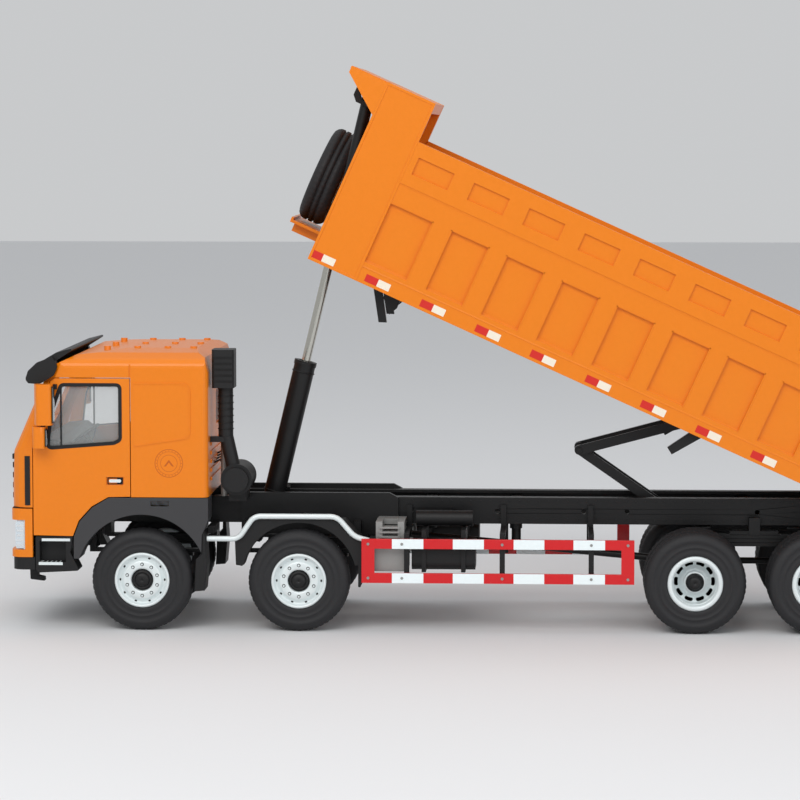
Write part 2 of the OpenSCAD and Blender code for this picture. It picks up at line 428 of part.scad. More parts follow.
module bed_stays() color(blk) bed() both() {
  xz(31.6, 35) polygon([[28.4, 4.8], [40.6, -14.2], [44, -12.8], [33, 4.8]]);
  xz(31.6, 35) polygon([[36, 4.8], [38, -3], [43.6, -9], [45.6, -5], [45.4, 4.8]]);
  xz(43.4, 47) polygon([[199.2, 4.8], [186.6, -12.6], [183.6, -10.6], [193, 4.8]]);
  bx(28.4, 45.4, 31.6, 35, 4.5, 7.9); bx(193, 199.2, 43.4, 47, 4.5, 7.9);
}
// top bracket of the ram: the holes are wide, so the pin can wander as the body tips
ht = [-8.2, 78.2];
module hoist_head() color(blk) bed() both() difference() {
  xz(4.2, 5.8) polygon([[-14.4, tall_h - 1.5], [-14.4, 75], [-12, 72.4], [-4, 72.4], [0, 74.4], [0, tall_h - 1.5]]);
  cy(ht[0], ht[1], 4.1, 0, 10);
}
sp = [28.6, 34.3];
module spare() bed() translate([-4.4, sp[0], sp[1]]) rotate([0, -90, 0]) children();
module spare_tyre() color([0.12, 0.12, 0.13]) spare() rotate_extrude($fn = 96) polygon(tw);
module spare_wheel() color(steel) spare() {
  rotate_extrude($fn = 96) polygon([[0, 3], [0, 5.2], [5.4, 5.2], [9.6, 4], [11.2, 12.4], [12.6, 12.4], [12.6, 0.8], [10.6, 0.8], [9, 3]]);
  translate([0, 0, -4.4]) cylinder(r = 3, h = 7.6);
}
module spare_shelf() color(orange) bed() { bx(-18, 0, 5.6, 50.4, 8.4, 9.8); both2() bx(-16, 0, 0, 1.4, 4.4, 8.4); bx(-18, -16.8, 5.6, 50.4, 9.8, 11); }
module both2() { translate([0, 12, 0]) children(); translate([0, 44, 0]) children(); }
module tailgate() color(orange) bed() {
  difference() {
    bx(285.3, 287.6, -50.1, 50.1, 1, 64.6);
    for (i = [0:3]) bx(286.9, 290, -47 + i * 24, -25 + i * 24, 5, 56);
  }
  cy(286.6, 63.4, 1.0, -51.9, 51.9);
  both() bx(285.3, 288, 47, 50.1, 60.6, 64.6);
  both() xz(44, 46.4) polygon([[287.5, 0.4], [289.4, 1.4], [289.4, 6], [287.5, 6]]);
}

place() frame_rails();
place() sub_frame();
place() cab_shell();
place() cab_floor();
place() dashboard();
place() seats();
place() cab_glass();
place() sun_visor();
place() grille();
place() bumper();
place() lower_bumper();
place() headlights();
place() wheel_arches();
place() cab_steps();
place() step_treads();
place() mud_guards();
place() guard_pipes();
place() side_guards();
place() guard_brackets();
place() air_intake();
place() battery_box();
place() fuel_tank();
place() air_tanks();
place() springs();
place() axle_housings();
place() drive_shafts();
place() tail_lights();
place() body_hinge_pin();
place() door_left();
place() door_glass_left();
place() mirror_left();
place() mirror_bars_left();
place() door_right();
place() door_glass_right();
place() mirror_right();
place() mirror_bars_right();
place() tyres_1();
place() wheels_1();
place() tyres_2();
place() wheels_2();
place() tyres_3();
place() wheels_3();
place() tyres_4();
place() wheels_4();
place() hoist_barrel();
place() hoist_rod();
place() hoist_sleeve();
place() stabiliser_lower();
place() stabiliser_upper();
place() bed_shell();
place() bed_side_frames();
place() bed_canopy();
place() bed_beams();
place() bed_stays();
place() hoist_head();
place() spare_tyre();
place() spare_wheel();
place() spare_shelf();
place() tailgate();
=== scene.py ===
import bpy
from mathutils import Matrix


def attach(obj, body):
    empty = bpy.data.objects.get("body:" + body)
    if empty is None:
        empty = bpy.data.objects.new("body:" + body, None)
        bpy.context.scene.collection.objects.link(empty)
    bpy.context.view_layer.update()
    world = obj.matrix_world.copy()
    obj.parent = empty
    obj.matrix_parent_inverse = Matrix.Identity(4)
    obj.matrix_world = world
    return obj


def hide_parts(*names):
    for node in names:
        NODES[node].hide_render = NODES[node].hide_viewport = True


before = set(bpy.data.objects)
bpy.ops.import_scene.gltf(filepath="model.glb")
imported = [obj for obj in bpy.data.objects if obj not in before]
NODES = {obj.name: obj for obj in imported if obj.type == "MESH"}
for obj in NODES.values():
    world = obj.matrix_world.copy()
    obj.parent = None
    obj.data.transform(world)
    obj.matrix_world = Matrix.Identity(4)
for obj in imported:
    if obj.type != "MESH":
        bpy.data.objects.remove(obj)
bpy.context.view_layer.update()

import math
import bpy
from mathutils import Vector, Matrix

XO = -11.7
MM = 0.001
sc = bpy.context.scene


# ---------------------------------------------------------------- materials
def lin(c):
    return tuple((v / 12.92) if v <= 0.04045 else ((v + 0.055) / 1.055) ** 2.4 for v in c)


def rgb(r, g, b):
    return lin((r / 255, g / 255, b / 255))


def material(name, col, rough=0.4, metal=0.0, coat=0.0, bump=0.0, scale=400.0, vary=0.03, trans=0.0, alpha=1.0, ior=1.45, emis=0.0):
    m = bpy.data.materials.new(name)
    m.use_nodes = True
    nt = m.node_tree
    b = nt.nodes["Principled BSDF"]
    tc = nt.nodes.new("ShaderNodeTexCoord")
    nz = nt.nodes.new("ShaderNodeTexNoise")
    nz.inputs["Scale"].default_value = scale
    nz.inputs["Detail"].default_value = 4.0
    nt.links.new(tc.outputs["Object"], nz.inputs["Vector"])
    mx = nt.nodes.new("ShaderNodeMixRGB")
    mx.inputs["Color1"].default_value = tuple(max(0.0, v * (1 - vary)) for v in col) + (1.0,)
    mx.inputs["Color2"].default_value = tuple(min(1.0, v * (1 + vary)) for v in col) + (1.0,)
    nt.links.new(nz.outputs["Fac"], mx.inputs["Fac"])
    nt.links.new(mx.outputs["Color"], b.inputs["Base Color"])
    mr = nt.nodes.new("ShaderNodeMapRange")
    mr.inputs["From Min"].default_value = 0.3
    mr.inputs["From Max"].default_value = 0.7
    mr.inputs["To Min"].default_value = max(0.02, rough - 0.05)
    mr.inputs["To Max"].default_value = min(1.0, rough + 0.05)
    nt.links.new(nz.outputs["Fac"], mr.inputs["Value"])
    nt.links.new(mr.outputs["Result"], b.inputs["Roughness"])
    b.inputs["Metallic"].default_value = metal
    b.inputs["IOR"].default_value = ior
    if "Specular IOR Level" in b.inputs:
        b.inputs["Specular IOR Level"].default_value = 0.4
    if "Coat Weight" in b.inputs:
        b.inputs["Coat Weight"].default_value = coat
        b.inputs["Coat Roughness"].default_value = 0.12
    if trans and "Transmission Weight" in b.inputs:
        b.inputs["Transmission Weight"].default_value = trans
    if alpha < 1:
        b.inputs["Alpha"].default_value = alpha
    if bump:
        bp = nt.nodes.new("ShaderNodeBump")
        bp.inputs["Strength"].default_value = bump
        bp.inputs["Distance"].default_value = 0.0002
        nt.links.new(nz.outputs["Fac"], bp.inputs["Height"])
        nt.links.new(bp.outputs["Normal"], b.inputs["Normal"])
    return m


ORANGE = material("orange_enamel", rgb(229, 124, 0), 0.38, coat=0.16, bump=0.03, scale=600)
BLACK = material("chassis_black", rgb(17, 17, 18), 0.42, bump=0.06, scale=500)
PLASTIC = material("black_plastic", rgb(22, 22, 23), 0.5, bump=0.1, scale=900)
GREY = material("dark_grey_plastic", rgb(58, 58, 60), 0.5, bump=0.1, scale=900)
SILVER = material("silver_lacquer", rgb(222, 230, 231), 0.36, metal=0.15, coat=0.2, bump=0.03, scale=700)
DULL = material("dull_silver", rgb(150, 150, 148), 0.45, metal=0.4, bump=0.08, scale=500)
CHROME = material("ram_chrome", rgb(190, 188, 180), 0.18, metal=1.0)
TYRE = material("tyre_rubber", rgb(37, 37, 39), 0.62, bump=0.14, scale=700)
SEAT = material("seat_brown", rgb(120, 48, 34), 0.55, bump=0.1, scale=800)
GLASS = material("clear_glass", (0.9, 0.95, 0.95), 0.04, trans=0.0, alpha=0.14)
DARKGLASS = material("tinted_glass", rgb(30, 34, 36), 0.08, alpha=0.8)
LENS = material("lamp_lens", rgb(205, 215, 222), 0.12, metal=0.3, coat=0.5)
REFLECTOR = material("lamp_bowl", rgb(225, 228, 230), 0.15, metal=0.9)
REDLENS = material("red_lens", rgb(150, 14, 12), 0.2, coat=0.4)
RED = material("guard_red", rgb(206, 16, 24), 0.34, coat=0.25, bump=0.03, scale=600)
WHITE = material("guard_white", rgb(236, 246, 248), 0.36, coat=0.2, bump=0.03, scale=600)
TAPE_R = material("tape_red", rgb(206, 38, 30), 0.45)
TAPE_W = material("tape_white", rgb(236, 226, 208), 0.45)
EMBLEM = material("emblem_print", rgb(190, 88, 18), 0.4)
AMBER = material("amber_lens", rgb(220, 110, 20), 0.2, coat=0.3)
MIRROR = material("mirror_face", rgb(210, 214, 216), 0.04, metal=1.0)
# near-black stand-in for holes, slots and gaps that are not cut open: painted shade inside the recesses
RECESS_SHADE = material("painted_recess_shade", rgb(12, 12, 13), 0.7)
SEAL = material("window_rubber", rgb(24, 24, 25), 0.6, bump=0.05, scale=900)

BYNODE = {}
for k in ("cab_shell", "bumper", "door_left", "door_right", "mirror_left", "mirror_right", "bed_shell", "bed_side_frames", "bed_canopy", "spare_shelf", "tailgate"):
    BYNODE[k] = ORANGE
for k in ("frame_rails", "sub_frame", "springs", "axle_housings", "drive_shafts", "bed_beams", "bed_stays", "hoist_head", "stabiliser_lower", "stabiliser_upper", "guard_brackets", "hoist_barrel", "hoist_sleeve"):
    BYNODE[k] = BLACK
for k in ("cab_floor", "dashboard", "sun_visor", "mirror_bars_left", "mirror_bars_right", "grille", "lower_bumper", "cab_steps", "mud_guards", "air_intake", "fuel_tank", "air_tanks"):
    BYNODE[k] = PLASTIC
BYNODE["wheel_arches"] = GREY
for k in ("step_treads", "guard_pipes", "wheels_1", "wheels_2", "wheels_3", "wheels_4", "spare_wheel"):
    BYNODE[k] = SILVER
BYNODE["battery_box"] = DULL
BYNODE["hoist_rod"] = CHROME
BYNODE["body_hinge_pin"] = CHROME
for k in ("tyres_1", "tyres_2", "tyres_3", "tyres_4", "spare_tyre"):
    BYNODE[k] = TYRE
BYNODE["seats"] = SEAT
BYNODE["cab_glass"] = GLASS
BYNODE["door_glass_left"] = GLASS
BYNODE["door_glass_right"] = GLASS
BYNODE["headlights"] = LENS
BYNODE["tail_lights"] = REDLENS
BYNODE["side_guards"] = RED
for n, o in NODES.items():
    m = BYNODE.get(n, PLASTIC)
    if o.data.materials:
        for i in range(len(o.data.materials)):
            o.data.materials[i] = m
    else:
        o.data.materials.append(m)

# soft edges on the pressed sheet and castings
for n, w in (("cab_shell", 0.25), ("door_left", 0.22), ("door_right", 0.22), ("bed_shell", 0.25), ("bed_side_frames", 0.22),
             ("bed_canopy", 0.25), ("bumper", 0.3), ("tailgate", 0.25), ("mirror_left", 0.3), ("mirror_right", 0.3), ("side_guards", 0.15),
             ("wheel_arches", 0.2), ("sub_frame", 0.15), ("frame_rails", 0.15), ("battery_box", 0.2), ("spare_shelf", 0.15), ("mud_guards", 0.2)):
    o = NODES[n]
    wd = o.modifiers.new("weld", "WELD")
    wd.merge_threshold = 1e-6
    bv = o.modifiers.new("edge", "BEVEL")
    bv.width = w * MM
    bv.segments = 2
    bv.limit_method = "ANGLE"
    bv.angle_limit = math.radians(50)
    bv.use_clamp_overlap = True
    bv.harden_normals = False


# ---------------------------------------------------------------- mesh helpers (millimetres, before the shift along X)
TILT = math.radians(24.4)


def bedp(u, y, v):
    x = u - 275.0
    z = v + 2.5
    return (184.0 + x * math.cos(TILT) + z * math.sin(TILT), y, 54.4 - x * math.sin(TILT) + z * math.cos(TILT))


def plain(x, y, z):
    return (x, y, z)


class Geo:
    def __init__(self, tf=plain):
        self.v = []
        self.f = []
        self.s = []
        self.tf = tf

    def add(self, vs, fs, smooth=False):
        n = len(self.v)
        self.v += [tuple(self.tf(*p)) for p in vs]
        self.f += [tuple(n + i for i in f) for f in fs]
        self.s += [smooth] * len(fs)

    def box(self, x0, x1, y0, y1, z0, z1):
        vs = [(x, y, z) for x in (x0, x1) for y in (y0, y1) for z in (z0, z1)]
        self.add(vs, [(0, 1, 3, 2), (4, 6, 7, 5), (0, 4, 5, 1), (2, 3, 7, 6), (0, 2, 6, 4), (1, 5, 7, 3)])

    def cbox(self, x0, x1, y0, y1, z0, z1, c=0.15):
        """box with small chamfers on its long edges, seen from the side"""
        pts = [(x0 + c, z0), (x1 - c, z0), (x1, z0 + c), (x1, z1 - c), (x1 - c, z1), (x0 + c, z1), (x0, z1 - c), (x0, z0 + c)]
        self.prism(pts, y0, y1)

    def prism(self, pts, y0, y1):
        n = len(pts)
        vs = [(p[0], y0, p[1]) for p in pts] + [(p[0], y1, p[1]) for p in pts]
        fs = [tuple(range(n)), tuple(range(2 * n - 1, n - 1, -1))]
        fs += [(i, i + n, (i + 1) % n + n, (i + 1) % n) for i in range(n)]
        self.add(vs, fs)

    def frame(self, outer, inner, y0, y1):
        n = len(outer)
        vs = [(p[0], y0, p[1]) for p in outer] + [(p[0], y0, p[1]) for p in inner] + [(p[0], y1, p[1]) for p in outer] + [(p[0], y1, p[1]) for p in inner]
        fs = []
        for i in range(n):
            j = (i + 1) % n
            fs += [(i, j, n + j, n + i), (2 * n + i, 3 * n + i, 3 * n + j, 2 * n + j), (i, 2 * n + i, 2 * n + j, j), (n + i, n + j, 3 * n + j, 3 * n + i)]
        self.add(vs, fs)

    def rev(self, prof, x, y, z, s, n=96, mod=None, axis="y"):
        """profile [(radius, outwards)] turned about an axis along Y; s = -1 faces the left side"""
        vs = []
        m = len(prof)
        for i in range(n):
            a = 2 * math.pi * i / n
            for k, (r, d) in enumerate(prof):
                rr = r if mod is None else mod(i, k, r)
                if axis == "y":
                    vs.append((x + rr * math.cos(a), y + s * d, z + rr * math.sin(a)))
                elif axis == "u":
                    vs.append((x - d, y + rr * math.cos(a), z + rr * math.sin(a)))
                else:
                    vs.append((x + d * s, y + rr * math.cos(a), z + rr * math.sin(a)))
        fs = []
        for i in range(n):
            j = (i + 1) % n
            for k in range(m - 1):
                fs.append((i * m + k, i * m + k + 1, j * m + k + 1, j * m + k))
        self.add(vs, fs, True)

    def rod(self, a, b, r, n=20):
        a = Vector(a)
        b = Vector(b)
        d = (b - a).normalized()
        u = d.orthogonal().normalized()
        w = d.cross(u)
        vs = []
        for p in (a, b):
            for i in range(n):
                t = 2 * math.pi * i / n
                vs.append(tuple(p + u * (r * math.cos(t)) + w * (r * math.sin(t))))
        fs = [(i, (i + 1) % n, (i + 1) % n + n, i + n) for i in range(n)]
        self.add(vs, fs, True)
        self.add(vs[:n], [tuple(range(n - 1, -1, -1))])
        self.add(vs[n:], [tuple(range(n))])

    def tube(self, path, r, n=16):
        pts = [Vector(p) for p in path]
        vs = []
        u = None
        for i, p in enumerate(pts):
            d = (pts[min(i + 1, len(pts) - 1)] - pts[max(i - 1, 0)]).normalized()
            if u is None:
                u = d.orthogonal().normalized()
            u = (u - d * u.dot(d)).normalized()
            w = d.cross(u)
            for k in range(n):
                t = 2 * math.pi * k / n
                vs.append(tuple(p + u * (r * math.cos(t)) + w * (r * math.sin(t))))
        m = len(pts)
        fs = [(i * n + k, i * n + (k + 1) % n, (i + 1) * n + (k + 1) % n, (i + 1) * n + k) for i in range(m - 1) for k in range(n)]
        self.add(vs, fs, True)
        self.add(vs[:n], [tuple(range(n - 1, -1, -1))])
        self.add(vs[-n:], [tuple(range(n))])

    def make(self, name, mat, body, replaces=None, slot=None, bevel=0.0):
        me = bpy.data.meshes.new(name)
        me.from_pydata([((x + XO) * MM, y * MM, z * MM) for x, y, z in self.v], [], self.f)
        me.update()
        import bmesh
        bm = bmesh.new()
        bm.from_mesh(me)
        bmesh.ops.recalc_face_normals(bm, faces=bm.faces)
        bm.to_mesh(me)
        bm.free()
        for p, s in zip(me.polygons, self.s):
            p.use_smooth = s
        o = bpy.data.objects.new(name, me)
        sc.collection.objects.link(o)
        me.materials.append(mat)
        if bevel:
            bv = o.modifiers.new("edge", "BEVEL")
            bv.width = bevel * MM
            bv.segments = 2
            bv.limit_method = "ANGLE"
            bv.angle_limit = math.radians(40)
        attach(o, body)
        if replaces:
            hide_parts(*replaces)
        return o


def round_poly(p, r, n=6):
    """closed polygon with its corners rounded"""
    out = []
    m = len(p)
    for i in range(m):
        a = Vector(p[i - 1])
        b = Vector(p[i])
        c = Vector(p[(i + 1) % m])
        rr = r[i] if isinstance(r, (list, tuple)) else r
        u = (a - b).normalized()
        v = (c - b).normalized()
        ang = math.acos(max(-1, min(1, u.dot(v))))
        d = min(rr / math.tan(ang / 2), (a - b).length * 0.49, (c - b).length * 0.49)
        p0 = b + u * d
        p2 = b + v * d
        for k in range(n + 1):
            t = k / n
            q = (1 - t) ** 2 * p0 + 2 * t * (1 - t) * b + t ** 2 * p2
            out.append((q.x, q.y))
    return out


def inset(p, d):
    """polygon moved inwards by d"""
    m = len(p)
    area = sum(p[i][0] * p[(i + 1) % m][1] - p[(i + 1) % m][0] * p[i][1] for i in range(m))
    sg = 1 if area > 0 else -1
    out = []
    for i in range(m):
        a = Vector(p[i - 1])
        b = Vector(p[i])
        c = Vector(p[(i + 1) % m])
        u = (b - a).normalized()
        v = (c - b).normalized()
        nrm = Vector((-(u.y + v.y), u.x + v.x)).normalized() * sg
        k = d / max(0.3, nrm.dot(Vector((-u.y, u.x)) * sg))
        q = b + nrm * k
        out.append((q.x, q.y))
    return out


# ---------------------------------------------------------------- wheels
AX = (-141.7, -69.9, 110.3, 166.5)
AZ = 23.2
TREAD = [(12.7, 0.6), (13.6, 0.25), (15.0, 0.15), (15.3, 0.02), (16.2, 0.02), (16.5, 0.2), (19.8, 0.25), (20.4, 0.1), (21.2, 0.3), (22.3, 1.3),
         (23.0, 2.6), (23.2, 3.2), (23.2, 4.6), (22.5, 4.8), (22.5, 5.4), (23.2, 5.6), (23.2, 7.4), (22.5, 7.6), (22.5, 8.2), (23.2, 8.4),
         (23.2, 9.9), (23.0, 10.6), (22.3, 11.8), (21.2, 12.7), (20.4, 12.85), (20.2, 12.98), (18.9, 12.98), (18.7, 12.8), (17.0, 12.85), (16.8, 13.0),
         (16.2, 13.0), (16.0, 12.75), (14.8, 12.9), (14.5, 12.98), (13.3, 12.98), (12.7, 12.6), (12.55, 11.5), (12.55, 1.2), (12.7, 0.6)]


def tread_mod(i, k, r):
    # lateral notches of the tread and its shoulders
    if r > 22.4 and (i % 4) == 0:
        return r - 0.22
    return r


for n in range(4):
    body = "axle%d" % (n + 1)
    rear = n > 1
    t = Geo()
    for s in (-1, 1):
        t.rev(TREAD, AX[n], s * 38.4, AZ, s, 216, tread_mod)
        if rear:
            t.rev(TREAD, AX[n], s * 38.0, AZ, -s, 216, tread_mod)
    t.make("tyre_detail_%d" % (n + 1), TYRE, body, ("tyres_%d" % (n + 1),), "tyre_rubber")
    r = Geo()
    h = Geo()
    # d holds dark discs of painted shade in the rim's holes and round its nuts
    d = Geo()
    for s in (-1, 1):
        if not rear:
            prof = [(4.6, 5.0), (5.0, 8.4), (5.0, 11.6), (5.3, 12.1), (6.0, 12.25), (8.4, 12.2), (8.8, 11.95), (9.2, 11.2), (9.9, 10.6), (10.5, 10.6), (10.9, 11.0),
                    (11.3, 12.5), (11.5, 12.9), (12.2, 12.9), (12.6, 12.5), (12.65, 11.2), (12.65, 1.0), (11.4, 1.0), (11.4, 8.2), (4.6, 8.4), (4.6, 5.0)]
            r.rev(prof, AX[n], s * 38.4, AZ, s, 128)
            for i in range(10):
                a = math.radians(i * 36 + 18)
                px, pz = AX[n] + 7.2 * math.cos(a), AZ + 7.2 * math.sin(a)
                r.rod((px, s * 50.4, pz), (px, s * 51.15, pz), 0.52, 6)
                d.rod((px, s * 50.55, pz), (px, s * 50.68, pz), 0.8, 16)
            for i in range(10):
                a = math.radians(i * 36)
                px, pz = AX[n] + 10.2 * math.cos(a), AZ + 10.2 * math.sin(a)
                d.rod((px, s * 48.9, pz), (px, s * 49.08, pz), 0.55, 16)
            h.rev([(0.01, 7.0), (0.01, 13.0 - 0.0), (1.4, 12.95), (2.6, 12.75), (3.1, 12.3), (3.3, 11.9), (4.3, 11.8), (4.6, 11.4), (4.8, 10.6), (4.8, 7.0), (0.01, 7.0)], AX[n], s * 38.4, AZ, s, 64)
            h.rev([(3.3, 12.0), (3.5, 12.25), (3.9, 12.25), (4.1, 12.0)], AX[n], s * 38.4, AZ, s, 64)
        else:
            prof = [(4.3, 1.0), (4.3, 4.6), (5.0, 5.0), (6.2, 4.8), (7.2, 3.5), (9.4, 3.3), (9.9, 4.0), (10.15, 6.0), (10.2, 11.6), (10.5, 12.6), (11.0, 12.9), (11.9, 12.9), (12.4, 12.6),
                    (12.65, 12.2), (12.65, -12.6), (11.0, -12.6), (11.0, 0.4), (4.3, 1.0)]
            r.rev(prof, AX[n], s * 38.4, AZ, s, 128)
            r.rev([(10.1, 8.6), (9.7, 8.8), (9.7, 9.2), (10.15, 9.4)], AX[n], s * 38.4, AZ, s, 128)
            for i in range(10):
                a = math.radians(i * 36 + 18)
                px, pz = AX[n] + 6.0 * math.cos(a), AZ + 6.0 * math.sin(a)
                r.rod((px, s * 43.0, pz), (px, s * 44.0, pz), 0.45, 6)
                # oval slots of the dish, as dark discs of painted shade
                for q in (-0.075, -0.05, -0.025, 0.0, 0.025, 0.05, 0.075):
                    aa = math.radians(i * 36) + q * 1.6
                    sx, sz = AX[n] + 8.35 * math.cos(aa), AZ + 8.35 * math.sin(aa)
                    d.rod((sx, s * 41.6, sz), (sx, s * 41.86, sz), 0.95, 12)
            h.rev([(0.01, 3.0), (0.01, 11.2), (1.6, 11.15), (2.5, 10.9), (2.9, 10.4), (3.0, 9.6), (3.9, 9.4), (4.1, 9.0), (4.2, 5.0), (4.2, 3.0), (0.01, 3.0)], AX[n], s * 38.4, AZ, s, 64)
            r.rev([(4.2, 7.4), (4.75, 7.5), (4.95, 7.2), (4.95, 5.6), (4.75, 5.3), (4.2, 5.2)], AX[n], s * 38.4, AZ, s, 64)
    rim = r.make("rim_detail_%d" % (n + 1), SILVER, body, ("wheels_%d" % (n + 1),), "silver")
    h.rod((AX[n], -46.0 if not rear else -42.0, AZ), (AX[n], 46.0 if not rear else 42.0, AZ), 1.5, 32)
    h.make("hub_caps_%d" % (n + 1), PLASTIC, body, None, "black_plastic")
    d.make("rim_hole_shade_%d" % (n + 1), RECESS_SHADE, body, None, "black_plastic")

# spare wheel, in the frame of the tipping body
t = Geo(bedp)
t.rev(TREAD, -4.4, 28.6, 34.3, 1, 216, tread_mod, axis="u")
t.make("spare_tyre_detail", TYRE, "tipping_body", ("spare_tyre",), "tyre_rubber")
# dark discs of painted shade for the slots of the spare rim
d = Geo(bedp)
for i in range(10):
    a = math.radians(i * 36)
    for q in (-0.1, -0.05, 0.0, 0.05, 0.1):
        d.rod((-4.4 - 5.1, 28.6 + 7.6 * math.cos(a + q), 34.3 + 7.6 * math.sin(a + q)), (-4.4 - 4.9, 28.6 + 7.6 * math.cos(a + q), 34.3 + 7.6 * math.sin(a + q)), 0.8, 12)
d.make("spare_slot_shade", RECESS_SHADE, "tipping_body", None, "black_plastic")

# ---------------------------------------------------------------- side guards
for s, nm in ((-1, "left"), (1, "right")):
    w = Geo()
    for x0, x1 in ((-27.3, -13.0), (0.4, 14.5), (28.0, 41.9), (55.1, 69.4)):
        for z0, z1 in ((22.7, 27.3), (38.4, 42.9)):
            w.cbox(x0, x1, min(s * 51.55, s * 51.75), max(s * 51.55, s * 51.75), z0 + 0.05, z1 - 0.05, 0.05)
            w.cbox(x0, x1, min(s * 49.9, s * 51.6), max(s * 49.9, s * 51.6), z0 + 0.02, z1 - 0.02, 0.02)
    w.make("guard_white_" + nm, WHITE, "chassis", None, "guard_red")
    bl = Geo()
    for x in (-38.2, -24.2 + 1.4, 21.6 + 1.2, 62 + 1.2, 79.8):
        for z in (25.0, 40.6):
            bl.rod((x, s * 51.6, z), (x, s * 51.95, z), 0.7, 6)
    bl.make("guard_bolts_" + nm, DULL, "chassis", None, "silver")

# round tube over the flat pipe node
pipe = [(-112, 42.2), (-97.6, 42.2), (-90.5, 52.6), (-52.5, 52.6), (-44.5, 43.4), (-38, 41.8)]


def smooth_path(p, r, n=8):
    out = [Vector(p[0])]
    for i in range(1, len(p) - 1):
        a, b, c = Vector(p[i - 1]), Vector(p[i]), Vector(p[i + 1])
        u = (a - b).normalized()
        v = (c - b).normalized()
        p0, p2 = b + u * r, b + v * r
        for k in range(n + 1):
            t = k / n
            out.append((1 - t) ** 2 * p0 + 2 * t * (1 - t) * b + t ** 2 * p2)
    out.append(Vector(p[-1]))
    return out


g = Geo()
for s in (-1, 1):
    g.tube([(q.x, s * 48.6, q.y) for q in smooth_path(pipe, 3.2)], 1.25, 20)
g.make("guard_tube_detail", SILVER, "chassis", ("guard_pipes",), "silver")

